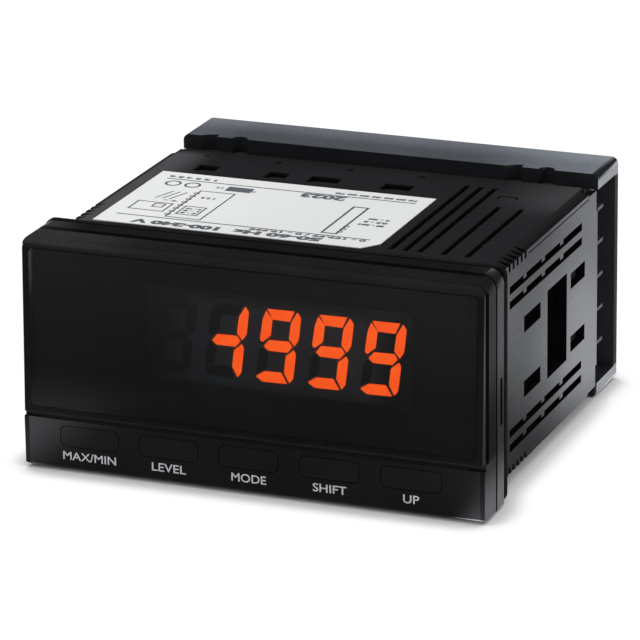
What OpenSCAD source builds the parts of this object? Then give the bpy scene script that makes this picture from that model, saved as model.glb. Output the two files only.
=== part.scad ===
// Panel meter, 1/8 DIN, with a five-digit display, five front keys and a clip-on terminal cover.
// X is right, Y is back into the panel and Z is up. Y = 0 is the face that seats on the panel,
// and Z = 0 is the middle of the panel cut-out.

/* [Front frame] */
// Width of the front frame
bezel_w = 96; // [90:0.5:110]
// Height of the front frame
bezel_h = 48; // [46:0.5:60]
// Radius of the frame's top corners
bezel_r = 3; // [0.5:0.1:4]
// Radius of the frame's bottom corners
foot_r = 0.8; // [0.3:0.1:2]
// Depth of the lip in front of the shadow groove
lip_t = 1.3; // [1:0.1:2]
// Width of the shadow groove round the lip
groove_t = 1.1; // [0.6:0.1:2]
// Depth of the rim behind the shadow groove
rim_t = 3.9; // [3:0.1:6]
// Depth of the recessed joint between the frame and the case flange
joint_t = 0.8; // [0.4:0.1:2]
// How far the joint and the grooves lie in from the outline
joint_in = 0.7; // [0.3:0.1:1.2]
// How much lower the front edge is than the rim, at top and bottom
front_slope = 1.1; // [0.4:0.1:2]
// How far the window surround stands ahead of the key strip, at its foot
surround_rise = 0.35; // [0.1:0.05:1]
// How far the window surround leans back over its height
surround_lean = 1.35; // [0:0.05:1.4]
// Wall of the front frame
bezel_wall = 2; // [1.6:0.1:3]
// How far the frame stands out past the case, at each side
over_x = 2.4; // [2.2:0.1:4]
// How far the frame stands out past the case, above and below
over_z = 2; // [1.8:0.1:3]
// Height of the key strip and the groove above it
strip_h = 11.9; // [11.5:0.1:14]

/* [Window and display] */
// Margin of the frame beside the window
lens_side = 1.7; // [1.5:0.1:6]
// Margin of the surround under the window
lens_foot = 1.4; // [1:0.1:3]
// Margin of the surround above the window
lens_head = 1.875; // [1.5:0.025:3]
// Thickness of the window
lens_t = 1.2; // [0.8:0.1:1.4]
// Play of the window in its pocket, each side
lens_gap = 0.1; // [0.05:0.05:0.3]
// Height of one digit
digit_h = 14.9; // [10:0.1:15]
// Width of one digit
digit_w = 7.85; // [6:0.05:8]
// Distance from digit to digit
digit_pitch = 10.75; // [9:0.05:12]
// Lean of the digits, sideways per height
slant = 0.14; // [0:0.01:0.16]
// Middle of the display module, sideways
module_x = 5.3; // [0:0.1:8]
// Middle of the display module, above the middle of the window
module_rise = 1.1; // [0:0.1:2]

/* [Keys] */
// Width of a key
key_w = 12.2; // [8:0.2:14]
// Height of a key
key_h = 4.2; // [3:0.1:5]
// Margin of the frame beside the key row
key_side = 8.3; // [8:0.1:12]
// Middle of the key row, sideways
key_x = -0.5; // [-2:0.1:2]
// Height of the key row's middle above the frame's lower edge
key_rise = 7.5; // [7:0.1:8]
// Play round a key
key_gap = 0.15; // [0.1:0.05:0.3]
// Travel of a key
key_travel = 0.5; // [0.2:0.1:0.8]

/* [Case] */
// Depth of the case behind the panel
case_l = 61.7; // [55:0.1:90]
// Wall of the case
wall = 1.8; // [1.4:0.1:2.4]
// Depth of the flange
flange_t = 3.8; // [3:0.1:6]
// Depth of the step behind the flange
step_t = 1; // [0.5:0.1:2]
// Thickness of the panel gasket
gasket_t = 1.4; // [1:0.1:3]
// Corner flat, measured along the top
flat_x = 2.5; // [1:0.05:3]
// Corner flat, measured down the side
flat_z = 0.7; // [0.4:0.05:1.2]
// Width of a vent slot
slot_w = 1.6; // [1:0.1:2.2]
// Width of a slot in the top
top_slot_w = 1.2; // [0.8:0.1:1.6]
// Distance from tooth to tooth of the bracket ratchet
tooth_pitch = 2.34; // [1.8:0.02:3]

/* [Terminals and cover] */
// Distance from terminal to terminal
term_pitch = 7.1; // [6:0.1:7.6]
// Height of the middle terminal
term_z = -1.15; // [-2:0.05:2]
// Height of the barriers above the terminal floor
barrier_l = 3.6; // [3:0.1:5]
// How far the cover lies in from the sides of the case
cover_in = 0.1; // [0:0.1:2]
// How far the cover stands out above and below the case
cover_out = 1.9; // [1.5:0.1:3]
// Depth of the cover
cover_l = 13.2; // [10:0.1:20]
// Thickness of the cover's top and bottom rails
rail_t = 3.2; // [2.4:0.1:4]
// Thickness of the cover's rear plate
plate_t = 2; // [1.5:0.1:3]

/* [Hidden] */
$fn = 48;
fit = 0.1;           // play of a piece that is clipped or pushed into another
eps = 0.5;           // how far a cut runs past the face it opens

case_w = bezel_w - 2 * over_x;
case_h = bezel_h - 2 * over_z;
in_w = case_w - 2 * wall;
in_h = case_h - 2 * wall;
in_cut = 3.2;
gasket_r = 2;
step_y = -gasket_t - step_t;
flange_y = step_y - flange_t;
rim_back = flange_y - joint_t;
rim_y = rim_back - rim_t;
lip_y = rim_y - groove_t;
strip_y = lip_y - lip_t;
surround_y = strip_y - surround_rise;
lens_proud = 0.1;
lens_r = 1;
cavity_y = strip_y + bezel_wall;
ledge_t = 1.2;
ledge_y = surround_y + surround_lean + lens_t + ledge_t;    // back of the ledge that holds the window
frame_top = bezel_h / 2;
front_top = frame_top - 0.75 * front_slope;
surround_z = strip_h - frame_top;    // lower edge of the window surround
seam_w = 1.1;
seam_d = 0.8;
strip_top = surround_z - seam_w;
side_groove = [surround_z, front_top - 1.2];
lens_w = bezel_w - 2 * lens_side;
lens_h = front_top - lens_head - surround_z - lens_foot;
lens_z = surround_z + lens_foot + lens_h / 2;
edge_drop = 0.35;            // how much the rim rounds down at its front and rear edges
edge_run = 1.8;
surround_w = bezel_w - 0.6;
post_in = 3.2;               // posts that carry the display board
post_x = in_w / 2 - post_in;
post_z = [surround_z + 2.6, in_h / 2 - post_in];
post_r = 1.7;
dimple_x = lens_w / 2 - 1.4; // moulding dimples in the window
dimple_z = lens_z + lens_h / 2 - 3.3;
dimple_r = 0.6;
dimple_d = 0.35;

board_t = 1.6;
board_y = -3.7;              // front face of the display board
board_back = board_y + board_t;
module_d = 19;               // height of the display module's housing
module_t = 7.2;
module_y = board_y - module_t;
module_z = lens_z + module_rise;
module_end = 0.4;
digits = 5;
module_len = digits * digit_pitch + 2 * module_end;
module_play = 0.3;
bar_t = 0.2;
// corners of the seven bars, as shares of half the digit's width and height
top_bar = [[-0.8, 0.99], [0.61, 1], [0.43, 0.715], [-0.45, 0.725]];
top_right_bar = [[0.765, 0.98], [0.98, 0.84], [1, 0.24], [0.83, 0.06], [0.5, 0.245], [0.51, 0.69]];
low_right_bar = [[0.81, -0.055], [0.945, -0.16], [0.96, -0.83], [0.8, -0.96], [0.46, -0.685], [0.45, -0.235]];
foot_bar = [[-0.98, -0.87], [-0.59, -0.72], [0.29, -0.705], [0.67, -0.985], [-0.6, -1]];
low_left_bar = [[-0.84, -0.075], [-0.51, -0.25], [-0.51, -0.64], [-0.99, -0.8], [-0.98, -0.16]];
top_left_bar = [[-0.865, 0.93], [-0.49, 0.725], [-0.48, 0.27], [-0.86, 0.08], [-1, 0.155], [-0.98, 0.71]];
middle_bar = [[-0.765, -0.025], [-0.53, 0.15], [0.51, 0.16], [0.72, 0.025], [0.51, -0.135], [-0.5, -0.135]];
bars = [top_bar, top_right_bar, low_right_bar, foot_bar, low_left_bar, top_left_bar, middle_bar];

tooth_w = 1.1;
teeth = 5;
tooth_y = 7.1;               // front of the first tooth gap
tooth_d = 2.1;               // how far a tooth gap reaches down the side
notch_y = case_l - 5.7;
notch_z = case_h / 2 - 1.1;
side_line = [18.8, notch_y]; // fine moulded line down the side, below the top
side_line_z = case_h / 2 - 1.7;
side_line_w = 0.25;
roof_end = case_l - 3.4;     // rear edge of the case's top and bottom walls
side_step = case_h / 2 - 5.5;
side_step_l = 0.8;
hollow_w = in_w - 0.4;       // hollow of the front frame
hollow_h = in_h + 0.4;

row_z = [case_h / 2 - 8.9, case_h / 2 - 5.9];
row_l = [7.7, case_l - 10];
row_y = [[row_l[0], 15.8], [17.6, 26.8], [28.6, 38], [39.9, row_l[1]]];    // between the nubs
window_y = [case_l - 31.4, case_l - 19.4];
window_z = case_h / 2 - 12.85;
small_windows = [[16.2, window_y[0] - 4.2], [window_y[1] + 2.4, case_l - 8]];
small_z = [case_h / 2 - 17, case_h / 2 - 13.7];
long_slots = [case_w / 2 - 24.4, case_w / 2 - 21.45, case_w / 2 - 18.5];
short_slots = [case_w / 2 - 13.65, case_w / 2 - 8.8];
slot_start = 7.8;
long_end = case_l - 9.4;
short_end = case_l - 21.1;
slot_run = 9.6;              // open length between two bridges of a top slot
bridge = 1.4;
slot_sink = 0.6;             // how far the bridges lie below the top
pockets = [[9.8, 14.4], [25.3, 29.9], [34.6, 41.2], [50.6, 56.9]];     // from the left side
pocket_y = [case_l - 17.6, case_l - 13.4];
pocket_d = 1.1;
pips = [8.6, 24.5, 40.3, 55.9];    // from the left side
pip_y = case_l - 6.7;
pip_r = 0.6;
pip_h = 0.3;

latch_z = [-6.8, 2.7];
latch_y = [flange_y + 1.65, flange_y + 2.95];
tongue_x = in_w / 2 + 0.9;
tongue_t = 1.2;
tooth_out = 1;

block_y = case_l - 11.7;     // front face of the terminal block
floor_y = case_l;            // floor that the terminals stand on
barrier_y = floor_y + barrier_l;
barrier_t = 0.7;
cell_x = case_w / 2 - 12.6;  // inner end of the terminal cells
cover_w = case_w - 2 * cover_in;
cover_h = case_h + 2 * cover_out;
block_h = cover_h - 2 * rail_t - 2 * fit;
block_wall = 1.3;
term_count = floor((block_h - 2 * block_wall) / term_pitch);    // in each column
plate_x = case_w / 2 - 10.4;
term_plate_w = 5.4;
term_plate_l = 8.2;
term_plate_t = 0.8;
screw_x = plate_x + term_plate_l / 2;
screw_r = 1.5;
screw_l = 5;
head_r = 2.5;
head_t = 1.9;
cover_y = floor_y + 0.5;
cover_back = cover_y + cover_l;
cover_r = 1.4;
tab_x = [[7.6 - cover_w / 2, 11 - cover_w / 2], [cover_w / 2 - 16.3, cover_w / 2 - 12.7]];
scallop_d = 1.6;             // hollows beside the tabs: a long ramp and a short arch
ramp_l = 3.5;
ramp_r = (ramp_l * ramp_l + scallop_d * scallop_d) / (2 * scallop_d);
arch_r = 1.7;
hook_y = [cover_y + 0.7, cover_y + 2.1];
hook_d = 0.8;

board_gap = 2.4;             // from a long board to the case's top or bottom wall
board_side = 2.8;
main_z = in_h / 2 - board_gap - board_t;       // inner faces of the two long boards
long_board_w = in_w - 2 * board_side;
core_side = 7.8;             // transformer: core, and the winding round its leg
core_w = 24;
core_x = [core_side - in_w / 2, core_side + core_w - in_w / 2];
core_y = [4, 27];
core_lift = 4;
core_h = 14;
core_z = [core_lift - main_z, core_lift + core_h - main_z];
coil_in = [4, 3];            // how far the winding lies in from the core, sideways and lengthways
coil_x = [core_x[0] + coil_in[0], core_x[1] - coil_in[0]];
coil_y = [core_y[0] + coil_in[1], core_y[1] - coil_in[1]];
coil_over = 3;
coil_top = core_z[1] + coil_over;
can_at = [[9, 12], [22, 12], [22, 24]];    // from the core's right end
can_r = 5;
can_h = 16;
relay_w = 14;
relay_x = [in_w / 2 - 37.8, in_w / 2 - 19.8];
relay_y = [8, 27];
relay_h = 10;
header_x = 25;
header_d = 2.5;
label_x = [4.6 - case_w / 2, case_w / 2 - 27.2];
label_y = [6.2, case_l - 20.5];
label_cut = [2.8, 3.6];      // corner taken off the label
label_t = 0.15;
stem_r = 1.6;
switch_w = 6;
switch_t = 3.5;
switch_y = board_y - switch_t;
stem_in = 1.2;               // how far a key's stem reaches into its switch
stem_end = switch_y + stem_in;
key_flange_t = 0.8;
key_flange_y = cavity_y + key_gap;
key_lip = 0.6;
key_r = 1.2;
keys = 5;
key_pitch = (bezel_w - 2 * key_side - key_w) / (keys - 1);
key_z = key_rise - frame_top;

key_hollow = (keys - 1) * key_pitch + key_w + 6;
key_max_min_x = key_x - 2 * key_pitch;
key_level_x = key_x - key_pitch;
key_mode_x = key_x;
key_shift_x = key_x + key_pitch;
key_up_x = key_x + 2 * key_pitch;

// A box between two corners.
module block(x, y, z) {
    translate([x[0], y[0], z[0]]) cube([x[1] - x[0], y[1] - y[0], z[1] - z[0]]);
}

// A flat outline with rounded corners.
module rounded(w, h, r) {
    square([w - 2 * r, h], center = true);
    square([w, h - 2 * r], center = true);
    for (sx = [-1, 1], sz = [-1, 1]) {
        translate([sx * (w / 2 - r), sz * (h / 2 - r)]) circle(r = r);
    }
}

// The outline of the frame and the flange: round at the top corners, nearly sharp at the bottom.
module frame_outline(w, h) {
    intersection() {
        translate([0, -h]) rounded(w, 3 * h, bezel_r);
        translate([0, h]) rounded(w, 3 * h, foot_r);
    }
}

// A flat outline with its four corners cut off.
module cut_corners(w, h, cx, cz) {
    a = w / 2;
    b = h / 2;
    polygon([[a - cx, b], [a, b - cz], [a, cz - b], [a - cx, -b],
        [cx - a, -b], [-a, cz - b], [-a, b - cz], [cx - a, b]]);
}

// A flat outline drawn from the front, carried back from y0 to y1.
module slab(y0, y1) {
    translate([0, y1, 0]) rotate([90, 0, 0]) linear_extrude(height = y1 - y0) children();
}

// Leans a shape drawn against the upright plane Y = 0 back into the plane of the window surround.
module leaned() {
    tilt = atan(surround_lean / (front_top - surround_z));
    translate([0, surround_y, surround_z]) rotate([-tilt, 0, 0]) translate([0, 0, -surround_z]) children();
}

// The front frame: one moulding that holds the window, the display and the keys.
module bezel() {
    t = frame_top;
    color([0.07, 0.07, 0.075]) difference() {
        union() {
            intersection() {
                slab(strip_y, rim_back) frame_outline(bezel_w, bezel_h);
                translate([-bezel_w / 2, 0, 0]) rotate([90, 0, 90])
                    linear_extrude(height = bezel_w)
                    polygon([[lip_y, t - edge_drop], [rim_back - edge_run, t], [rim_back, t - edge_drop],
                        [rim_back, edge_drop - t], [rim_back - edge_run, -t], [lip_y, edge_drop - t],
                        [strip_y, front_slope - t], [strip_y, surround_z], [lip_y, surround_z]]);
            }
            // window surround, leaning back
            intersection() {
                slab(surround_y, lip_y + eps) frame_outline(surround_w, bezel_h);
                translate([-bezel_w / 2, 0, 0]) rotate([90, 0, 90])
                    linear_extrude(height = bezel_w)
                    polygon([[surround_y, surround_z], [surround_y + surround_lean, front_top],
                        [lip_y, t - edge_drop], [lip_y + eps, t - edge_drop], [lip_y + eps, surround_z]]);
            }
            slab(rim_y, flange_y) frame_outline(bezel_w - 2 * joint_in, bezel_h - 2 * joint_in);
        }
        // pocket for the window, and the opening for the display module
        leaned() translate([0, 0, lens_z]) slab(-eps, lens_t - lens_proud)
            rounded(lens_w + 2 * lens_gap, lens_h + 2 * lens_gap, lens_r + lens_gap);
        translate([module_x, 0, module_z]) slab(surround_y, ledge_y + eps)
            square([module_len + 2 * module_play, module_d + 2 * module_play], center = true);
        // hollow back, deeper behind the keys
        slab(ledge_y, flange_y + eps) rounded(hollow_w, hollow_h, 1);
        block([-key_hollow / 2, key_hollow / 2], [cavity_y, ledge_y + eps],
            [bezel_wall - frame_top + front_slope, surround_z]);
        // groove between the surround and the key strip
        block([-bezel_w, bezel_w], [surround_y - eps, strip_y + seam_d], [strip_top, surround_z]);
        // shadow groove down both sides
        for (s = [-1, 1]) {
            translate([s * bezel_w / 2, 0, 0]) block([-joint_in, joint_in], [lip_y, rim_y], side_groove);
        }
        for (x = [key_max_min_x, key_level_x, key_mode_x, key_shift_x, key_up_x]) {
            translate([x, 0, key_z]) slab(strip_y - eps, cavity_y + eps)
                rounded(key_w + 2 * key_gap, key_h + 2 * key_gap, key_r + key_gap);
        }
    }
    // posts that carry the display board
    color([0.07, 0.07, 0.075]) for (s = [-1, 1], z = post_z) {
        translate([s * post_x, 0, z]) slab(ledge_y - eps, board_y) circle(r = post_r);
    }
    // clip tongues that go into the flange
    color([0.07, 0.07, 0.075]) for (s = [0, 1]) mirror([s, 0, 0]) {
        block([tongue_x, tongue_x + tongue_t], [flange_y - eps, latch_y[1] + 0.2],
            [latch_z[0] + fit, latch_z[1] - fit]);
        block([tongue_x + tongue_t, tongue_x + tongue_t + tooth_out], [latch_y[0] + fit, latch_y[1] - fit],
            [latch_z[0] + fit, latch_z[1] - fit]);
    }
}

// The smoked window, with two small dimples where its locating pins are moulded.
module display_window() {
    color([0.02, 0.02, 0.025]) leaned() difference() {
        translate([0, 0, lens_z]) slab(-lens_proud, lens_t - lens_proud) rounded(lens_w, lens_h, lens_r);
        for (s = [-1, 1]) translate([s * dimple_x, 0, dimple_z])
            slab(-lens_proud - eps, dimple_d - lens_proud) circle(r = dimple_r);
    }
}

// The housing of the five digits.
module display_module() {
    color([0.05, 0.05, 0.05]) translate([module_x, 0, module_z]) slab(module_y, board_y)
        square([module_len, module_d], center = true);
}

// One bar of a digit, leaning: 0 top, 1 upper right, 2 lower right, 3 bottom, 4 lower left,
// 5 upper left, 6 middle.
module bar(n) {
    w = digit_w / 2;
    h = digit_h / 2;
    polygon([for (p = bars[n]) [p[0] * w + slant * p[1] * h, p[1] * h]]);
}

module digit_bars(place, shown) {
    x = module_x + (place - (digits - 1) / 2) * digit_pitch;
    translate([x, 0, module_z]) slab(module_y - bar_t, module_y) for (n = shown) bar(n);
}

// The bars that are lit: -1999.
module lit_segments() {
    color([0.95, 0.3, 0.06]) digit_bars(1, [1, 2, 6]);
    color([0.95, 0.3, 0.06]) for (place = [2, 3, 4]) digit_bars(place, [0, 1, 2, 3, 5, 6]);
}

// The bars that are dark.
module unlit_segments() {
    color([0.12, 0.06, 0.05]) digit_bars(0, [0, 1, 2, 3, 4, 5, 6]);
    color([0.12, 0.06, 0.05]) digit_bars(1, [0, 3, 4, 5]);
    color([0.12, 0.06, 0.05]) for (place = [2, 3, 4]) digit_bars(place, [4]);
}

// One key: cap, retaining flange behind the strip, and the stem into its switch.
module key(x) {
    translate([x, 0, key_z]) {
        slab(strip_y, key_flange_y + key_flange_t) rounded(key_w, key_h, key_r);
        slab(key_flange_y, key_flange_y + key_flange_t)
            rounded(key_w + 2 * key_gap + 2 * key_lip, key_h + 2 * key_gap + 2 * key_lip, key_r);
        slab(key_flange_y, stem_end) circle(r = stem_r);
    }
}

module key_max_min() { color([0.08, 0.08, 0.085]) key(key_max_min_x); }
module key_level() { color([0.08, 0.08, 0.085]) key(key_level_x); }
module key_mode() { color([0.08, 0.08, 0.085]) key(key_mode_x); }
module key_shift() { color([0.08, 0.08, 0.085]) key(key_shift_x); }
module key_up() { color([0.08, 0.08, 0.085]) key(key_up_x); }

// The five push switches on the display board, each with a bore for the key's stem.
module tact_switches() {
    color([0.3, 0.3, 0.32]) for (x = [key_max_min_x, key_level_x, key_mode_x, key_shift_x, key_up_x]) {
        translate([x, 0, key_z]) difference() {
            slab(switch_y, board_y) square(switch_w, center = true);
            slab(switch_y - eps, stem_end + key_travel + key_gap) circle(r = stem_r + key_gap);
        }
    }
}

// The board that carries the display and the switches.
module display_board() {
    color([0.05, 0.25, 0.12]) slab(board_y, board_back)
        cut_corners(in_w - 2 * fit, in_h - 2 * fit, in_cut + fit, in_cut + fit);
}

// The soft gasket between the case flange and the panel.
module panel_gasket() {
    color([0.1, 0.1, 0.1]) difference() {
        slab(-gasket_t, 0) rounded(bezel_w - 2 * fit, bezel_h - 2 * fit, gasket_r);
        slab(-gasket_t - eps, eps) square([case_w + 2 * fit, case_h + 2 * fit], center = true);
    }
}

// A slot of the top, with its sunk bridges.
module top_slot(x, y1) {
    z = case_h / 2;
    n = floor((y1 - slot_start + bridge) / (slot_run + bridge));
    translate([x - top_slot_w / 2, slot_start, z - slot_sink])
        cube([top_slot_w, y1 - slot_start, slot_sink + eps]);
    for (i = [0 : n - 1]) {
        y = slot_start + i * (slot_run + bridge);
        block([x - top_slot_w / 2, x + top_slot_w / 2], [y, i == n - 1 ? y1 : y + slot_run],
            [z - wall - eps, z]);
    }
}

// The case: sleeve, flange, bracket ratchet, vents and windows in one moulding.
module case() {
    a = case_w / 2;
    b = case_h / 2;
    color([0.09, 0.09, 0.095]) difference() {
        union() {
            slab(flange_y, step_y) frame_outline(bezel_w, bezel_h);
            slab(flange_y, -gasket_t) frame_outline(bezel_w - 2 * joint_in, bezel_h - 2 * joint_in);
            slab(flange_y, case_l) cut_corners(case_w, case_h, flat_x, flat_z);
            for (x = pips) translate([x - a, pip_y, b - pip_h]) cylinder(r = pip_r, h = 2 * pip_h);
        }
        // the hollow, from front to rear, square where the terminal block seats
        slab(flange_y - eps, roof_end + eps) cut_corners(in_w, in_h, in_cut, in_cut);
        slab(roof_end, case_l + eps) square([in_w, in_h], center = true);
        // tooth gaps of the bracket ratchet, on all four corners
        for (i = [0 : teeth - 1]) for (sx = [0, 1], sz = [0, 1]) mirror([sx, 0, 0]) mirror([0, 0, sz])
            slab(tooth_y + i * tooth_pitch, tooth_y + i * tooth_pitch + tooth_w)
                polygon([[a - flat_x, b + fit], [a - flat_x, b], [a, b - tooth_d], [a + fit, b - tooth_d],
                    [a + fit, b + fit]]);
        for (s = [0, 1]) mirror([s, 0, 0]) {
            // vent slots of the side, with nubs hanging from their upper edge, and the windows
            for (r = row_z, m = [-1, 1]) {
                block([a - wall - eps, a + eps], row_l, [m * r - slot_w / 2, m * r]);
                for (y = row_y) block([a - wall - eps, a + eps], y, [m * r - slot_w / 2, m * r + slot_w / 2]);
            }
            block([a - wall - eps, a + eps], window_y, [-window_z, window_z]);
            for (y = small_windows, m = [0, 1]) mirror([0, 0, m])
                block([a - wall - eps, a + eps], y, small_z);
            block([a - side_line_w, a + eps], side_line, [side_line_z, side_line_z + side_line_w]);
            // latch slot of the flange, and the way in for the tongue
            block([tongue_x - fit, bezel_w], latch_y, latch_z);
            block([tongue_x - fit, tongue_x + tongue_t + fit], [flange_y - eps, latch_y[1] + 0.3], latch_z);
        }
        for (s = [0, 1]) mirror([0, 0, s]) {
            for (x = long_slots) top_slot(x, long_end);
            for (x = short_slots) top_slot(x, short_end);
            // the top and bottom walls stop short of the terminals, the side walls step down there
            block([-in_w / 2, in_w / 2], [roof_end, case_l + eps], [in_h / 2, bezel_h]);
            for (m = [0, 1]) mirror([m, 0, 0])
                block([in_w / 2, bezel_w], [notch_y, case_l + eps], [notch_z, bezel_h]);
            block([-bezel_w, bezel_w], [case_l - side_step_l, case_l + eps], [side_step, bezel_h]);
        }
        for (x = pockets) block([x[0] - a, x[1] - a], pocket_y, [b - pocket_d, b + eps]);
    }
}

// The printed label on the top.
module top_label() {
    color([0.9, 0.9, 0.9]) translate([0, 0, case_h / 2]) linear_extrude(height = label_t)
        polygon([[label_x[0], label_y[0]], [label_x[1] - label_cut[0], label_y[0]],
            [label_x[1], label_y[0] + label_cut[1]], [label_x[1], label_y[1]], [label_x[0], label_y[1]]]);
}

// The two long boards that run from the display board to the terminals.
module main_board() {
    color([0.05, 0.25, 0.12])
        block([-long_board_w / 2, long_board_w / 2], [board_back, block_y], [main_z, main_z + board_t]);
}

module power_board() {
    color([0.05, 0.25, 0.12])
        block([-long_board_w / 2, long_board_w / 2], [board_back, block_y], [-main_z - board_t, -main_z]);
}

// The mains transformer: a wound bobbin in a laminated core.
module transformer() {
    color([0.35, 0.33, 0.3]) block(core_x, core_y, core_z);
    color([0.35, 0.33, 0.3]) block(coil_x, coil_y, [-main_z, coil_top]);
}

// Three round capacitors standing on the power board.
module filter_capacitors() {
    color([0.1, 0.12, 0.3]) for (p = can_at)
        translate([core_x[1] + p[0], p[1], -main_z]) cylinder(r = can_r, h = can_h);
}

// Two relays hanging from the main board.
module output_relays() {
    color([0.85, 0.83, 0.78]) for (x = relay_x) block([x, x + relay_w], relay_y, [main_z - relay_h, main_z]);
}

// The pin headers in the corners between the boards.
module board_connectors() {
    color([0.08, 0.08, 0.08]) for (s = [0, 1]) mirror([0, 0, s])
        block([-header_x, header_x], [board_back, board_back + header_d], [main_z - header_d, main_z]);
}

function term_at(i) = term_z + (i - (term_count - 1) / 2) * term_pitch;

// The terminal block: it closes the rear of the case and stands behind it with its barriers.
module terminal_block() {
    h = block_h / 2;
    color([0.06, 0.06, 0.065]) difference() {
        union() {
            slab(block_y, floor_y)
                cut_corners(in_w - 2 * fit, in_h - 2 * fit, in_cut + fit, in_cut + fit);
            slab(roof_end + fit, floor_y) square([in_w - 2 * fit, in_h - 2 * fit], center = true);
            for (m = [0, 1]) mirror([0, 0, m])
                block([fit - in_w / 2, in_w / 2 - fit], [roof_end + fit, barrier_y], [h - block_wall, h]);
            for (i = [1 : term_count], s = [0, 1]) mirror([s, 0, 0])
                block([cell_x, case_w / 2], [floor_y, barrier_y],
                    [term_at(i - 0.5) - barrier_t / 2, term_at(i - 0.5) + barrier_t / 2]);
        }
        for (i = [0 : term_count - 1], s = [-1, 1])
            translate([s * screw_x, 0, term_at(i)])
                slab(floor_y - screw_l - fit, floor_y + eps) circle(r = screw_r + fit);
        for (t = tab_x, m = [0, 1]) mirror([0, 0, m])
            block([t[0] - fit, t[1] + fit], [hook_y[0] - fit, hook_y[1] + fit], [h - hook_d, h + eps]);
    }
}

// The brass clamping plates, one to a terminal.
module terminal_plates() {
    color([0.75, 0.6, 0.3]) for (i = [0 : term_count - 1], s = [-1, 1])
        translate([s * screw_x, 0, term_at(i)]) difference() {
            slab(floor_y, floor_y + term_plate_t) square([term_plate_l, term_plate_w], center = true);
            slab(floor_y - eps, floor_y + term_plate_t + eps) circle(r = screw_r + fit);
        }
}

// The M3 screws that clamp the wires, slotted.
module terminal_screws() {
    head_y = floor_y + term_plate_t;
    color([0.75, 0.75, 0.72]) for (i = [0 : term_count - 1], s = [-1, 1])
        translate([s * screw_x, 0, term_at(i)]) difference() {
            union() {
                slab(head_y, head_y + head_t) circle(r = head_r);
                slab(floor_y - screw_l, head_y + eps) circle(r = screw_r);
            }
            slab(head_y + head_t - 0.8, head_y + head_t + eps) square([0.8, 2 * head_r + 1], center = true);
        }
}

// The clip-on cover: two rails and a rear plate, open at both sides for the wires.
module terminal_cover() {
    b = cover_h / 2;
    color([0.1, 0.11, 0.12]) difference() {
        slab(cover_y, cover_back) rounded(cover_w, cover_h, cover_r);
        block([-cover_w, cover_w], [cover_y - eps, cover_back - plate_t], [rail_t - b, b - rail_t]);
        // hollows beside the tabs, for a thumbnail or a screwdriver
        for (m = [0, 1], t = tab_x) mirror([0, 0, m]) translate([0, cover_y, b - rail_t - eps]) {
            intersection() {
                translate([t[0], scallop_d - ramp_r, 0]) cylinder(r = ramp_r, h = rail_t + 2 * eps);
                translate([t[0] - 2 * ramp_l, -eps, 0])
                    cube([2 * ramp_l, scallop_d + 2 * eps, rail_t + 2 * eps]);
            }
            translate([t[1] + arch_r, 0, 0]) cylinder(r = arch_r, h = rail_t + 2 * eps);
        }
    }
    color([0.1, 0.11, 0.12]) for (m = [0, 1], t = tab_x) mirror([0, 0, m])
        block(t, hook_y, [b - rail_t - hook_d, b - rail_t + eps]);
}

bezel();
display_window();
display_module();
lit_segments();
unlit_segments();
key_max_min();
key_level();
key_mode();
key_shift();
key_up();
tact_switches();
display_board();
panel_gasket();
case();
top_label();
main_board();
power_board();
transformer();
filter_capacitors();
output_relays();
board_connectors();
terminal_block();
terminal_plates();
terminal_screws();
terminal_cover();
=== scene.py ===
import math
import bmesh
import bpy
from mathutils import Matrix, Vector


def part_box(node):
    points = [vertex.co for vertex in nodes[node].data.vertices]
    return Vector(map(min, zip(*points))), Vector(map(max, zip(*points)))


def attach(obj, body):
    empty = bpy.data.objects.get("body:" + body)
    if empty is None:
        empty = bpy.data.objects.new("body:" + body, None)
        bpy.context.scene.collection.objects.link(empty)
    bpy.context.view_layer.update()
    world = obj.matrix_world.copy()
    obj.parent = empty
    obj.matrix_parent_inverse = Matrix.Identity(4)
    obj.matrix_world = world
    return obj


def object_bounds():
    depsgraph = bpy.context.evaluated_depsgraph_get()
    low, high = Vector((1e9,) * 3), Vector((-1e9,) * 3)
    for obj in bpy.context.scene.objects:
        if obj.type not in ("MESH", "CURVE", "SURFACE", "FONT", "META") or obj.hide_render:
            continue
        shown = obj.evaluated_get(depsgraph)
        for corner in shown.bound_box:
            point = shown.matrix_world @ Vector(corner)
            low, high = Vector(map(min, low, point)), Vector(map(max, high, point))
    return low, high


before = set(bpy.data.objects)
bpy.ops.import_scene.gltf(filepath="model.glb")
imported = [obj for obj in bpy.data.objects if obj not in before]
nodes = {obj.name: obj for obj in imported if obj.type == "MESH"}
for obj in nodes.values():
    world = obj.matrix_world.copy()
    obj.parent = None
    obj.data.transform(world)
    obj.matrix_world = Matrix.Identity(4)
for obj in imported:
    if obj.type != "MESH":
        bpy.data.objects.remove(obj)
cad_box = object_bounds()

# ---------------------------------------------------------------- camera
# A long lens on a stand, to the right of the meter's front and a little above it. It stands under a metre
# away and is turned by less than a degree.
MM = 0.001
scene = bpy.context.scene
scene.view_settings.view_transform = "Standard"
azimuth, elevation, roll = math.radians(21.794), math.radians(18.66), math.radians(-0.774)
distance, focal, sensor = 875.085, 246.0605, 36
aim = Vector((-1.137, 26.7, -0.953))
flat = math.cos(elevation)
back = Vector((math.sin(azimuth) * flat, -math.cos(azimuth) * flat, math.sin(elevation)))
right = (-back).cross(Vector((0, 0, 1))).normalized()
up = right.cross(-back)
side = math.cos(roll) * right + math.sin(roll) * up
top = -math.sin(roll) * right + math.cos(roll) * up
camera_data = bpy.data.cameras.new("camera")
camera_data.lens, camera_data.sensor_width = focal, sensor
camera_data.clip_start, camera_data.clip_end = 0.05, 20
camera = bpy.data.objects.new("camera", camera_data)
turn = Matrix((side, top, back)).transposed().to_4x4()
camera.matrix_world = Matrix.Translation((aim + back * distance) * MM) @ turn
scene.collection.objects.link(camera)
scene.camera = camera


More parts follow.
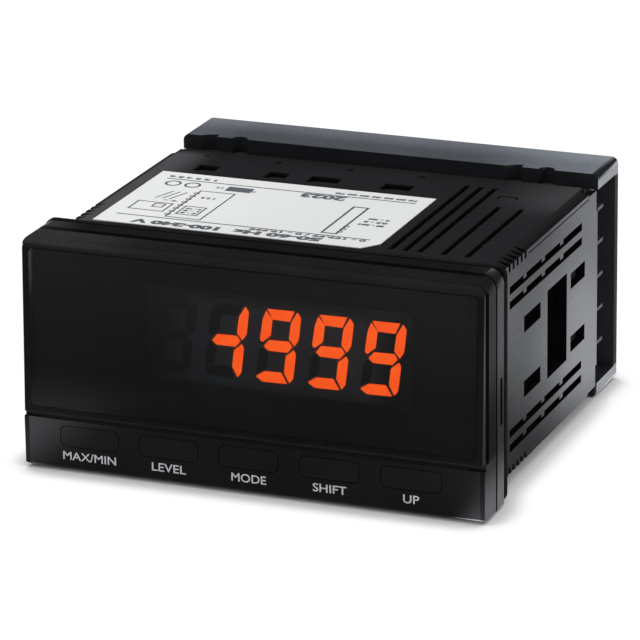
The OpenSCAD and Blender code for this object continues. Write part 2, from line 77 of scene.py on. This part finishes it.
# ---------------------------------------------------------------- floor
# A white sweep of matt paper, darkened only close round the meter's foot. Gloss sees it bright at both
# sides of the meter and dim in front, as between two white cards.
class Field:
    """An output of a shader tree's node; an expression on fields adds the Math nodes that work it out."""

    def __init__(self, tree, socket=None):
        self.tree, self.socket = tree, socket

    def node(self, kind, settings=None, inputs=None, out=0):
        """Any other node: its settings are set first, then its sockets take a value or a field each."""
        made = self.tree.nodes.new(kind)
        for key, value in (settings or {}).items():
            setattr(made, key, value)
        for key, value in (inputs or {}).items():
            if isinstance(value, Field):
                value.into(made.inputs[key])
            else:
                made.inputs[key].default_value = value
        return Field(self.tree, made.outputs[out])

    def into(self, socket):
        self.tree.links.new(self.socket, socket)

    def math(self, operation, other=0.0):
        return self.node("ShaderNodeMath", {"operation": operation}, {0: self, 1: other})

    def smooth(self, low, high):
        """0 below low, 1 above high, and a soft step between them."""
        kind = {"interpolation_type": "SMOOTHSTEP"}
        return self.node("ShaderNodeMapRange", kind, {0: self, 1: low, 2: high})

    def noise(self, scale, detail, roughness=0.5):
        sizes = {"Scale": scale, "Detail": detail, "Roughness": roughness}
        return self.node("ShaderNodeTexNoise", None, {"Vector": self, **sizes})

    def times(self, colour):
        """A colour scaled by this field."""
        shares = {channel: self * share for channel, share in enumerate(colour)}
        return self.node("ShaderNodeCombineColor", None, shares)

    def between(self, a, b):
        """Colour a where this field is 0, and colour b where it is 1."""
        return self.node("ShaderNodeMix", {"data_type": "RGBA"}, {0: self, 6: (*a, 1), 7: (*b, 1)}, out=2)

    def under(self, other, share):
        """This shader, covered by another one where share is 1."""
        return self.node("ShaderNodeMixShader", None, {0: share, 1: self, 2: other})

    def axes(self):
        """The three parts of a place or a direction: across, back and up."""
        split = self.node("ShaderNodeSeparateXYZ", None, {0: self})
        return [Field(self.tree, part) for part in split.socket.node.outputs]

    def in_mm(self):
        """A place's three coordinates, in mm."""
        return self.node("ShaderNodeVectorMath", {"operation": "SCALE"}, {0: self, "Scale": 1 / MM}).axes()

    def __abs__(self):
        return self.math("ABSOLUTE")

    def __neg__(self):
        return self.math("MULTIPLY", -1.0)

    def __add__(self, other):
        return self.math("ADD", other)

    def __sub__(self, other):
        return self.math("SUBTRACT", other)

    def __rsub__(self, other):
        return (-self).math("ADD", other)

    def __mul__(self, other):
        return self.math("MULTIPLY", other)

    __radd__, __rmul__ = __add__, __mul__


def new_material(name):
    """A material, the sockets of its shader, and its place in the object's own coordinates."""
    material = bpy.data.materials.new(name)
    material.use_nodes = True
    place = Field(material.node_tree).node("ShaderNodeTexCoord", out="Object")
    return material, material.node_tree.nodes["Principled BSDF"].inputs, place


reach, floor_z = 3, cad_box[0][2]
corners = [(x * reach, y * reach, floor_z) for x, y in ((-1, -1), (1, -1), (1, 1), (-1, 1))]
mesh = bpy.data.meshes.new("floor")
mesh.from_pydata(corners, [], [(0, 1, 2, 3)])
floor = bpy.data.objects.new("floor", mesh)
scene.collection.objects.link(floor)
white_sweep, look, place = new_material("white_sweep")
look["Base Color"].default_value = (0.9, 0.9, 0.9, 1)
look["Roughness"].default_value = 0.9
look["Specular IOR Level"].default_value = 0
shadow_reach = 7 * MM


def glow(strength, colour=(1, 1, 1)):
    return place.node("ShaderNodeEmission", None, {"Color": (*colour, 1), "Strength": strength})


x, y, z = place.in_mm()
seen = place.node("ShaderNodeLightPath", out="Is Camera Ray")
gloss = place.node("ShaderNodeLightPath", out="Is Glossy Ray")
clear = place.node("ShaderNodeAmbientOcclusion", {"samples": 16}, {"Distance": shadow_reach}, out="AO")
right_card = x.smooth(40, 47)
left_card = (-x).smooth(42, 62) * y.smooth(-85, -35)
card_white = (0.96, 0.985, 1.04)
cards = glow(0.05, card_white).under(glow(1.65, card_white), right_card)
cards = cards.under(glow(1.75, card_white), left_card)
paper = Field(place.tree, place.tree.nodes["Principled BSDF"].outputs[0])
paper = paper.under(glow(1.06), seen * (clear.smooth(0.60, 1.0) * 0.90))
paper.under(cards, gloss).into(place.tree.nodes["Material Output"].inputs["Surface"])
mesh.materials.append(white_sweep)

# ---------------------------------------------------------------- room and lamps
# An even pale light for matt faces. Gloss sees the room dim, but for a soft light above and a card low
# behind the meter. Three soft lamps stand round it.
world = bpy.data.worlds.new("studio")
scene.world = world
world.use_nodes = True
way = Field(world.node_tree).node("ShaderNodeTexCoord", out="Generated")


def wall(strength, colour=(1, 1, 1)):
    return way.node("ShaderNodeBackground", None, {"Color": (*colour, 1), "Strength": strength})


x, y, z = way.axes()
seen = way.node("ShaderNodeLightPath", out="Is Camera Ray")
gloss = way.node("ShaderNodeLightPath", out="Is Glossy Ray")
toward_card = x * -0.352 + y * 0.88 + z * 0.32
cool = (0.90, 0.97, 1.10)
mirrored = wall(0.05, cool).under(wall(0.45, cool), z.smooth(0.7, 0.95))
mirrored = mirrored.under(wall(1.40, cool), toward_card.smooth(0.88, 0.98))
room = wall(0.55).under(mirrored, gloss).under(wall(1.0), seen)
room.into(world.node_tree.nodes["World Output"].inputs["Surface"])

for name, spot, size, power in (
    ("overhead", (0.0, 0.1, 1.3), 1.2, 6.5),
    ("front_left", (-0.9, -1.0, 0.9), 0.9, 4.0),
    ("right_card", (1.1, 0.2, 0.7), 0.8, 3.5),
):
    light = bpy.data.lights.new(name, "AREA")
    light.shape, light.size, light.energy = "DISK", size, power
    lamp = bpy.data.objects.new(name, light)
    lamp.location = spot
    lamp.rotation_euler = (-Vector(spot)).to_track_quat("-Z", "Y").to_euler()
    scene.collection.objects.link(lamp)


# ---------------------------------------------------------------- front frame
# The front frame is one black ABS moulding with a fine matt grain; two tongues at its back clip into the
# case flange. Its colour carries painted light and shade, and its coat paints sheen by place, most on
# the key strip and at the foot of its sides.
grain_size, drift_scale, grain_strength = 0.36, 55, 0.6


def moulded(name, colour, rough=0.5, depth=0.01, mottle=0.26, shade=None, sheen=0.1, polish=0.3):
    """Moulded plastic: a colour with the tool's grain and a faint drift, and a coat over it; shade and sheen
    fields paint light, shade and sheen by place.
    """
    material, look, place = new_material(name)
    grain = place.noise(1 / (grain_size * MM), 3, 0.6)
    drift = place.noise(drift_scale, 4, 0.55)
    tint = (drift * 0.4 + grain * 0.6).smooth(0.3, 0.7) * (2 * mottle) + (1 - mottle)
    # Painted light and shade: a shade field scales the colour by place.
    if shade:
        tint = tint * shade(*place.in_mm())
    tint.times(colour).into(look["Base Color"])
    (rough + (drift - 0.5) * 0.16 + (grain - 0.5) * 0.10).into(look["Roughness"])
    look["Specular IOR Level"].default_value = 0
    # The coat's weight follows the grain; a sheen field paints sheen and reflections by place.
    shine = (0.40 + drift * 0.30 + grain * 0.90) * (sheen(*place.in_mm()) if callable(sheen) else sheen)
    shine.math("MINIMUM", 1.0).into(look["Coat Weight"])
    look["Coat Roughness"].default_value = polish
    relief = {"Height": grain, "Distance": depth * MM, "Strength": grain_strength}
    place.node("ShaderNodeBump", None, relief).into(look["Normal"])
    return material


def finish_node(name, material, edge=0.0):
    """Gives a solid its material, and breaks its sharp edges by so many mm, as a moulding tool does."""
    node = nodes[name]
    node.data.materials.clear()
    node.data.materials.append(material)
    if edge:
        weld = node.modifiers.new("weld", "WELD")
        weld.merge_threshold = 0.002 * MM
        bevel = node.modifiers.new("edges", "BEVEL")
        bevel.width, bevel.segments = edge * MM, 3
        bevel.limit_method, bevel.angle_limit = "ANGLE", math.radians(35)
        bevel.harden_normals = False


frame_side, frame_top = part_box("bezel")[1][0] / MM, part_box("bezel")[1][2] / MM
strip_face, strip_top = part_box("key_mode")[0][1] / MM, -13.1
gap_foot, gap_top = -20.2, -13.3


def key_gap(x, y, z):
    """The walls of the gaps round the keys, behind the face of the strip."""
    behind = y.smooth(strip_face + 0.2, strip_face + 0.4)
    in_row = z.smooth(gap_foot, gap_foot + 0.2) * (1 - z.smooth(gap_top, gap_top + 0.2))
    return behind * in_row * (1 - abs(x).smooth(frame_side - 3.5, frame_side - 3.2))


def frame_shade(x, y, z):
    """Painted light and shade: the top is painted paler to the left, with painted highlights on the brow,
    the side lips and the line over the strip, and painted light in the gaps round the keys.
    """
    on_top = z.smooth(frame_top - 2.1, frame_top - 1.4) * (0.45 + (-x).smooth(18, 40) * 1.9)
    brow = z.smooth(frame_top - 2.8, frame_top - 2.2) * (1 - y.smooth(-12.4, -12.0)) * 0.9
    groove = z.smooth(strip_top, strip_top + 0.2) * (1 - z.smooth(strip_top + 1.1, strip_top + 1.3)) * 1.4
    lip = abs(x).smooth(frame_side - 0.5, frame_side - 0.1) * (1 - y.smooth(-12.4, -11.9))
    lip = lip * z.smooth(-12.8, -11.0) * (z.smooth(-10, 12) * 7 + 5)
    return 1 + brow + on_top + groove + lip + key_gap(x, y, z) * 8


def frame_painted_sheen(x, y, z):
    # Painted sheen: the coat's weight by place, most on the key strip and at the foot of the sides.
    on_side = abs(x).smooth(frame_side - 1.2, frame_side - 0.8)
    side = 0.03 + z.smooth(-4, 10) * 0.11 + (1 - z.smooth(-22, -10)) * 0.42
    strip = (1 - z.smooth(-13.5, -12.8)) * 1.15
    face = 0.12 - z.smooth(frame_top - 2.4, frame_top - 1.6) * 0.11
    return on_side * side + (1 - on_side) * (strip + face)


front_black = moulded("front_black", (0.0085, 0.0085, 0.009), shade=frame_shade, sheen=frame_painted_sheen)
finish_node("bezel", front_black, 0.18)

# ---------------------------------------------------------------- window
# The window is a smoked acrylic sheet, polished in front, pressed into its pocket in the frame. Its colour
# is painted paler towards the top and the left, with a painted glint on its left edge near the top.
smoked_window, look, place = new_material("smoked_window")
window_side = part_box("display_window")[1][0] / MM
smoke = (0.0135, 0.0135, 0.0137)
x, y, z = place.in_mm()
swirl = place.noise(30, 3)
# Painted light: paler towards the top and the left, and a painted glint on the left edge near the top.
painted_window_light = 1 + z.smooth(-4, 20) * 0.75 + (-x).smooth(20, 46) * 0.25
painted_glint = (-x).smooth(window_side - 0.8, window_side - 0.4) * z.smooth(10, 18) * 5
((swirl.smooth(0.3, 0.7) * 0.25 + 0.88) * (painted_window_light + painted_glint)).times(smoke).into(look["Base Color"])
(0.05 + swirl * 0.06).into(look["Roughness"])
look["Specular IOR Level"].default_value = 0.25
look["Alpha"].default_value = 0.55
finish_node("display_window", smoked_window, 0.15)


# ---------------------------------------------------------------- digits
# Five seven-bar digits under the window, in a moulded housing. The lit bars glow orange red, and the dark
# ones stay duller than the housing's face round them, which is painted pale grey where light falls on it.
def housing_shade(x, y, z):
    """Painted light: the housing's face is painted pale round the digits, where light falls on it, and dark
    towards its edges.
    """
    across = x.smooth(-24, -6) * (1 - x.smooth(22, 29))
    return 0.09 + across * (1 - abs(z - 5.5).smooth(7, 10.5)) * 0.91


finish_node("display_module", moulded("module_black", (0.15, 0.19, 0.235), 0.6, shade=housing_shade))
led_lit, look, place = new_material("led_lit")
glowing = place.noise(500, 2).smooth(0.3, 0.7)
glowing.between((0.95, 0.088, 0.004), (1.0, 0.108, 0.007)).into(look["Emission Color"])
look["Base Color"].default_value = (0.5, 0.08, 0.02, 1)
look["Emission Strength"].default_value = 4.4
look["Roughness"].default_value = 0.5
finish_node("lit_segments", led_lit)
finish_node("unlit_segments", moulded("led_dark", (0.02, 0.018, 0.018), 0.5))


# ---------------------------------------------------------------- keys
# Five keys, moulded in black ABS, lie flush in the strip. Each is held from behind by the spring of its
# push switch.
def key_shade(x, y, z):
    # Painted light lifts the shade in the gaps round each key.
    return 1 + key_gap(x, y, z) * 8


key_black = moulded("key_black", (0.0105, 0.0105, 0.011), shade=key_shade, sheen=0.75)
for name in ("key_max_min", "key_level", "key_mode", "key_shift", "key_up"):
    finish_node(name, key_black, 0.10)


# ---------------------------------------------------------------- legends
# The word under each key is pad-printed on the strip, in pale grey ink. It is a thin raised layer, in
# plain upright letters.
def ink(name, speckle, thin, thick, rough):
    """Printed ink: its colour wanders between a thin layer's and a thick one's."""
    material, look, place = new_material(name)
    place.noise(speckle, 2).between(thin, thick).into(look["Base Color"])
    look["Roughness"].default_value = rough
    return material


def plain_mesh(source):
    """An object's evaluated shape as a plain mesh, in place of the object."""
    bpy.context.view_layer.update()
    shape = bpy.data.meshes.new_from_object(source.evaluated_get(bpy.context.evaluated_depsgraph_get()))
    bpy.data.objects.remove(source)
    return shape


def lettering(word, bold):
    """A word as a thin solid, a unit wide and a unit tall from its foot, with its middle at depth 0."""
    curve = bpy.data.curves.new("lettering", "FONT")
    curve.body, curve.size, curve.extrude, curve.offset, curve.resolution_u = word, 1, 0.01, bold, 4
    text = bpy.data.objects.new("lettering", curve)
    scene.collection.objects.link(text)
    shape = plain_mesh(text)
    low = [min(v.co[i] for v in shape.vertices) for i in (0, 1)]
    high = [max(v.co[i] for v in shape.vertices) for i in (0, 1)]
    for v in shape.vertices:
        v.co = ((v.co.x - low[0]) / (high[0] - low[0]), (v.co.y - low[1]) / (high[1] - low[1]), v.co.z)
    shape.materials.clear()
    return shape


def add_print(name, shape, material):
    """Makes a printed shape a piece on the meter's body."""
    shape.materials.append(material)
    piece = bpy.data.objects.new(name, shape)
    scene.collection.objects.link(piece)
    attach(piece, "meter_body")


legend_ink = ink("legend_ink", 1500, (0.50, 0.51, 0.54), (0.66, 0.67, 0.70), 0.55)
foot_z, letter_height, ink_lift, legend_bold = -21.36, 1.72, 0.03, 0.008
for word, left, right in (
    ("MAX/MIN", -39.85, -28.5),
    ("LEVEL", -20.85, -13.65),
    ("MODE", -4.05, 3.2),
    ("SHIFT", 12.9, 19.85),
    ("UP", 31.45, 34.75),
):
    shape = lettering(word, legend_bold)
    for v in shape.vertices:
        x, z = left + v.co.x * (right - left), foot_z + v.co.y * letter_height
        v.co = Vector((x, strip_face - ink_lift - v.co.z, z)) * MM
    add_print("legend_" + word.lower().replace("/", "_"), shape, legend_ink)

# ---------------------------------------------------------------- boards and what they carry
# Glass-fibre boards with green solder mask slide into the case. They hold the push switches, the mains
# transformer, the sleeved capacitors, the relays and the pin headers, all soldered on.
board_green = moulded("board_green", (0.010, 0.045, 0.022), 0.35, sheen=0.5)
for name in ("display_board", "main_board", "power_board"):
    finish_node(name, board_green)
finish_node("tact_switches", moulded("switch_grey", (0.08, 0.08, 0.085), 0.4))
finish_node("board_connectors", moulded("connector_black", (0.02, 0.02, 0.02), 0.5))
finish_node("transformer", moulded("core_steel", (0.08, 0.075, 0.07), 0.45))
finish_node("filter_capacitors", moulded("sleeve_blue", (0.01, 0.015, 0.06), 0.25))
finish_node("output_relays", moulded("relay_ivory", (0.30, 0.28, 0.23), 0.35))

# ---------------------------------------------------------------- gasket
# A soft ring, cut from black rubber sheet. The screws of the brackets press it between the flange and
# the panel.
gasket_rubber = moulded("gasket_rubber", (0.009, 0.009, 0.009), 0.75, mottle=0.3, sheen=0.02)
finish_node("panel_gasket", gasket_rubber, 0.15)

# ---------------------------------------------------------------- case
# The case is one black glass-filled moulding, slotted for air and toothed for its brackets. Its colour
# carries painted light, and its coat paints sheen on its sides, most towards the rear, and little on its
# top.
case_side, case_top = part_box("terminal_block")[1][0] / MM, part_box("top_label")[0][2] / MM
flange_back, rib_back = -2.0, 2.8


def case_shade(x, y, z):
    """Painted light: the flange's top and the case's top are painted paler near both sides, and the walls
    inside are painted pale as if lit.
    """
    on_flange = 1 - y.smooth(flange_back - 0.4, flange_back)
    flange = z.smooth(frame_top - 1.5, frame_top - 0.8) * 0.4
    flange = flange + (-x).smooth(36, 47) * 2.2 + x.smooth(40, 47) * 0.6
    on_top = z.smooth(case_top - 0.6, case_top - 0.2) * y.smooth(rib_back, rib_back + 1.4)
    left = (-x).smooth(34, 42.5) * (1 - y.smooth(54, 57.5)) * 4.6
    right = x.smooth(26, 43) * (1 - x.smooth(43.1, 43.6)) + x.smooth(case_side - 1, case_side - 0.5) * 1.5
    right = right * y.smooth(34, 50) * 2.4
    inside = 1 - abs(x).smooth(case_side - 4.1, case_side - 3.4)
    inside = inside * (1 - abs(z).smooth(case_top - 1.5, case_top - 1.0)) * 14
    return 0.45 + inside + on_flange * flange + on_top * (0.55 + left + right)


def case_painted_sheen(x, y, z):
    """Painted sheen: the coat's weight by place, so the sides shine most in a band that falls towards the
    rear, and the top shines little.
    """
    on_side = abs(x).smooth(case_side - 0.10, case_side - 0.02)
    on_flange = 1 - y.smooth(flange_back - 0.4, flange_back)
    flange = 0.10 + z.smooth(-4, 10) * 0.22 + (1 - z.smooth(-22, -10)) * 0.48
    above = (z - 8 + (y - 9) * 0.348).smooth(2, 22) * 0.42
    below = (8 - z - (y - 9) * 0.45).smooth(0, 24) * 0.74
    foot = (-z).smooth(14, 21) * 0.2
    wall = (0.45 + y.smooth(15, 58) * 0.63) * (1 - above) * (1 - below) * (1 - foot)
    top_painted_sheen = 0.002 + y.smooth(rib_back, rib_back + 0.8) * 0.028
    return on_side * (on_flange * flange + (1 - on_flange) * wall) + (1 - on_side) * top_painted_sheen


case_black = moulded("case_black", (0.0115, 0.0115, 0.012), shade=case_shade, sheen=case_painted_sheen)
finish_node("case", case_black, 0.12)


# ---------------------------------------------------------------- label
# A white film, printed dark and stuck on the top of the case. It reads from the rear: rules, boxes, rings
# for the wiring and plain numbers. Places on it are in mm, from its right front corner.
def label_shade(x, y, z):
    # Painted light: the film is painted a little paler towards the meter's left.
    return 0.99 + (-x).smooth(0, 35) * 0.09


label_white = moulded("label_white", (0.70, 0.705, 0.70), 0.45, mottle=0.02, shade=label_shade, sheen=0.2)
finish_node("top_label", label_white)
label_low, label_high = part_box("top_label")
print_ink = ink("print_ink", 1200, (0.006, 0.006, 0.008), (0.02, 0.02, 0.022), 0.5)
ink_low, ink_high = 0.002, 0.02
ink_middle = (ink_low + ink_high) / 2
slab_points = [(x, y, z) for z in (ink_low, ink_high) for x, y in ((0, 0), (1, 0), (1, 1), (0, 1))]
slab_faces = [(3, 2, 1, 0), (4, 5, 6, 7), (0, 1, 5, 4), (1, 2, 6, 5), (2, 3, 7, 6), (3, 0, 4, 7)]
print_points, print_faces = [], []


def on_film(across, down, height):
    return label_high[0] - across * MM, label_low[1] + down * MM, label_high[2] + height * MM


def print_shape(points, faces, across, down, wide, tall):
    """Puts a unit shape on the film."""
    start = len(print_points)
    print_points.extend(on_film(across + x * wide, down + (1 - y) * tall, z) for x, y, z in points)
    print_faces.extend([start + i for i in face] for face in faces)


def print_bar(across, down, wide, tall):
    print_shape(slab_points, slab_faces, across, down, wide, tall)


def print_box(across, down, wide, tall, line):
    print_bar(across, down, wide, line)
    print_bar(across, down + tall - line, wide, line)
    print_bar(across, down + line, line, tall - 2 * line)
    print_bar(across + wide - line, down + line, line, tall - 2 * line)


def print_words(rows, bold):
    for word, across, down, wide, tall in rows:
        shape = lettering(word, bold)
        points = [(v.co.x, v.co.y, ink_middle + v.co.z * 0.9) for v in shape.vertices]
        print_shape(points, [tuple(face.vertices) for face in shape.polygons], across, down, wide, tall)


for rule_down in (5.1, 30.35):
    print_bar(2.75, rule_down, 53.8, 0.4)
print_bar(36.75, 26.3, 5.5, 2.9)
print_box(10.25, 6.55, 3.5, 18.25, 0.5)
print_box(39.0, 6.3, 7.75, 18.5, 0.35)
print_box(40.75, 8.55, 4.75, 5.75, 0.35)
print_box(48.25, 9.05, 7.75, 5.75, 0.35)
print_box(49.5, 11.55, 2.5, 2.5, 0.35)
print_words((("50-60 Hz", 11.75, 0.9, 18.75, 2.4), ("100-240 V", 33.25, 0.9, 18.75, 2.4)), 0.065)
print_words((("0 - 199.99 / 0 - 19.999", 3.25, 3.7, 24.5, 1.25),), 0.05)
print_words((("2023", 17.0, 27.4, 9.5, 2.8),), 0.055)
print_words((("24", 35.8, 26.8, 0.9, 1.0), ("12", 43.1, 27.2, 1.5, 1.1)), 0.02)
print_words((
    ("85 - 264", 3.25, 13.6, 5.5, 1.1), ("0.5 - 5", 3.25, 15.6, 5.0, 1.1), ("4 - 20", 3.25, 17.5, 4.75, 1.0),
    ("1 2 3", 41.75, 19.8, 3.0, 1.0), ("0 - 5", 41.4, 9.4, 3.4, 0.9), ("1 - 5", 41.4, 10.8, 3.4, 0.9),
    ("0 - 10", 41.4, 12.2, 3.4, 0.9), ("+ -", 48.25, 16.05, 3.0, 0.8),
    ("10 20 30 40 50 60 70", 3.0, 31.55, 17.5, 1.1), ("1 2 3 4 5 6", 46.25, 31.55, 10.5, 1.1),
), 0.07)
contact_lean = 5
contact_points = [(x - contact_lean * (1 - y), y, z) for x, y, z in slab_points]
for step in range(3):
    print_shape(contact_points, slab_faces, 50.3 + step * 1.5, 17.4, 0.35, 5.2)

rings = bpy.data.node_groups.new("printed_rings", "GeometryNodeTree")
rings.interface.new_socket("Geometry", in_out="INPUT", socket_type="NodeSocketGeometry")
for name in ("Radius", "Line", "Height"):
    rings.interface.new_socket(name, in_out="INPUT", socket_type="NodeSocketFloat")
rings.interface.new_socket("Geometry", in_out="OUTPUT", socket_type="NodeSocketGeometry")
sizes, centres, circle, section, ring, copies, real, inked, result = (rings.nodes.new(kind) for kind in (
    "NodeGroupInput", "GeometryNodeMeshToPoints", "GeometryNodeCurvePrimitiveCircle",
    "GeometryNodeCurvePrimitiveQuadrilateral", "GeometryNodeCurveToMesh", "GeometryNodeInstanceOnPoints",
    "GeometryNodeRealizeInstances", "GeometryNodeSetMaterial", "NodeGroupOutput",
))
circle.inputs["Resolution"].default_value = 24
inked.inputs["Material"].default_value = print_ink
for source, output, target, socket in (
    (sizes, "Geometry", centres, "Mesh"),
    (sizes, "Radius", circle, "Radius"),
    (sizes, "Line", section, "Width"),
    (sizes, "Height", section, "Height"),
    (circle, "Curve", ring, "Curve"),
    (section, "Curve", ring, "Profile Curve"),
    (centres, "Points", copies, "Points"),
    (ring, "Mesh", copies, "Instance"),
    (copies, "Instances", real, "Geometry"),
    (real, "Geometry", inked, "Geometry"),
    (inked, "Geometry", result, "Geometry"),
):
    rings.links.new(source.outputs[output], target.inputs[socket])
wiring_dots = [(46.75, 8.05 + 2.1 * i) for i in range(8)] + [(10.25, 8.3 + 1.8 * i) for i in range(3)]
for radius, line, spots in ((0.5, 0.26, wiring_dots), (1.5, 0.5, [(49.75, 27.7), (54.0, 27.7)])):
    shape = bpy.data.meshes.new("ring_spots")
    shape.from_pydata([on_film(*spot, ink_middle) for spot in spots], [], [])
    ring_spots = bpy.data.objects.new("ring_spots", shape)
    scene.collection.objects.link(ring_spots)
    modifier = ring_spots.modifiers.new("rings", "NODES")
    modifier.node_group = rings
    chosen = {"Radius": radius, "Line": line, "Height": ink_high - ink_low}
    for item in rings.interface.items_tree:
        if item.in_out == "INPUT" and item.name in chosen:
            modifier[item.identifier] = chosen[item.name] * MM
    shape = plain_mesh(ring_spots)
    start = len(print_points)
    print_points.extend(tuple(v.co) for v in shape.vertices)
    print_faces.extend([start + i for i in face.vertices] for face in shape.polygons)

shape = bpy.data.meshes.new("label_print")
shape.from_pydata(print_points, [], print_faces)
solid = bmesh.new()
solid.from_mesh(shape)
bmesh.ops.remove_doubles(solid, verts=solid.verts, dist=0.0002 * MM)
bmesh.ops.recalc_face_normals(solid, faces=solid.faces)
solid.to_mesh(shape)
solid.free()
add_print("label_print", shape, print_ink)

# ---------------------------------------------------------------- ejector mark
# The tool leaves a shallow three-sided line in the top of the case, beside the air slots. It is drawn as a
# dark hair line lying on the plastic, painted shade standing in for the shallow groove.
line_points, line_faces = [], []
for left, front, wide, deep in ((29.6, 47.3, 4.0, 0.4), (29.6, 45.5, 0.4, 1.8), (33.2, 46.2, 0.4, 1.1)):
    start = len(line_points)
    for x, y, z in slab_points:
        line_points.append(Vector((left + x * wide, front + y * deep, case_top + z)) * MM)
    line_faces.extend([start + i for i in face] for face in slab_faces)
shape = bpy.data.meshes.new("ejector_mark")
shape.from_pydata(line_points, [], line_faces)
groove_painted_shadow = moulded("groove_painted_shadow", (0.002, 0.002, 0.0022), 0.8, sheen=0.0)
add_print("ejector_mark", shape, groove_painted_shadow)


# ---------------------------------------------------------------- terminals
# A black moulded barrier block closes the rear of the case. Each bay has a brass clamping plate, pressed
# from sheet, and a zinc-plated steel screw.
def metal(name, speckle, dull, bright, rough):
    """Bare or plated metal, its colour and its roughness a little uneven from handling."""
    material, look, place = new_material(name)
    tarnish = place.noise(speckle, 4)
    tarnish.between(dull, bright).into(look["Base Color"])
    (rough + tarnish * 0.25).into(look["Roughness"])
    look["Metallic"].default_value = 1
    return material


# The block's black is paler than the case's: painted light that lifts the shade between the cover's rails.
finish_node("terminal_block", moulded("block_black", (0.030, 0.030, 0.031), sheen=0.4), 0.12)
finish_node("terminal_plates", metal("plate_brass", 900, (0.62, 0.45, 0.20), (0.75, 0.60, 0.32), 0.22), 0.1)
finish_node("terminal_screws", metal("screw_zinc", 1200, (0.50, 0.50, 0.48), (0.66, 0.66, 0.63), 0.20), 0.12)

# ---------------------------------------------------------------- terminal cover
# The cover is a smooth glossy moulding, clipped over the terminals by its two rails. Its coat paints sheen
# by place on its top and the ends of its rails; the ends of its rear plate get almost none and stay dark.
cover_side, cover_back, cover_top = (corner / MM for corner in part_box("terminal_cover")[1])
rail_inner = cover_top - 3.6


def cover_shade(x, y, z):
    """Painted light: the plate between the rails, in their shade, is painted paler than the rails."""
    plate = 1 - abs(z).smooth(rail_inner, rail_inner + 0.6)
    return 1.6 + plate * (1 - y.smooth(cover_back - 0.5, cover_back - 0.2)) * 2


def cover_painted_sheen(x, y, z):
    # Painted sheen: the coat's weight by place, most towards the rear and the right of the top, less along
    # its side edges, and strong on the rail ends.
    on_top = abs(z).smooth(cover_top - 0.7, cover_top - 0.2)
    on_end = abs(x).smooth(cover_side - 0.6, cover_side - 0.2) * abs(z).smooth(rail_inner, rail_inner + 0.4)
    top = 0.20 + y.smooth(66, 75.5) * 0.26 + x.smooth(15, 43) * 0.33 + (-x).smooth(30, 44) * 0.14
    top = top * (1 - abs(x).smooth(cover_side - 1.5, cover_side - 1.1) * 0.5)
    return (on_top * top).math("MAXIMUM", on_end * 0.95).math("MAXIMUM", 0.06)


cover_finish = {"depth": 0.003, "shade": cover_shade, "sheen": cover_painted_sheen, "polish": 0.14}
finish_node("terminal_cover", moulded("cover_black", (0.010, 0.0105, 0.0115), 0.4, **cover_finish), 0.3)
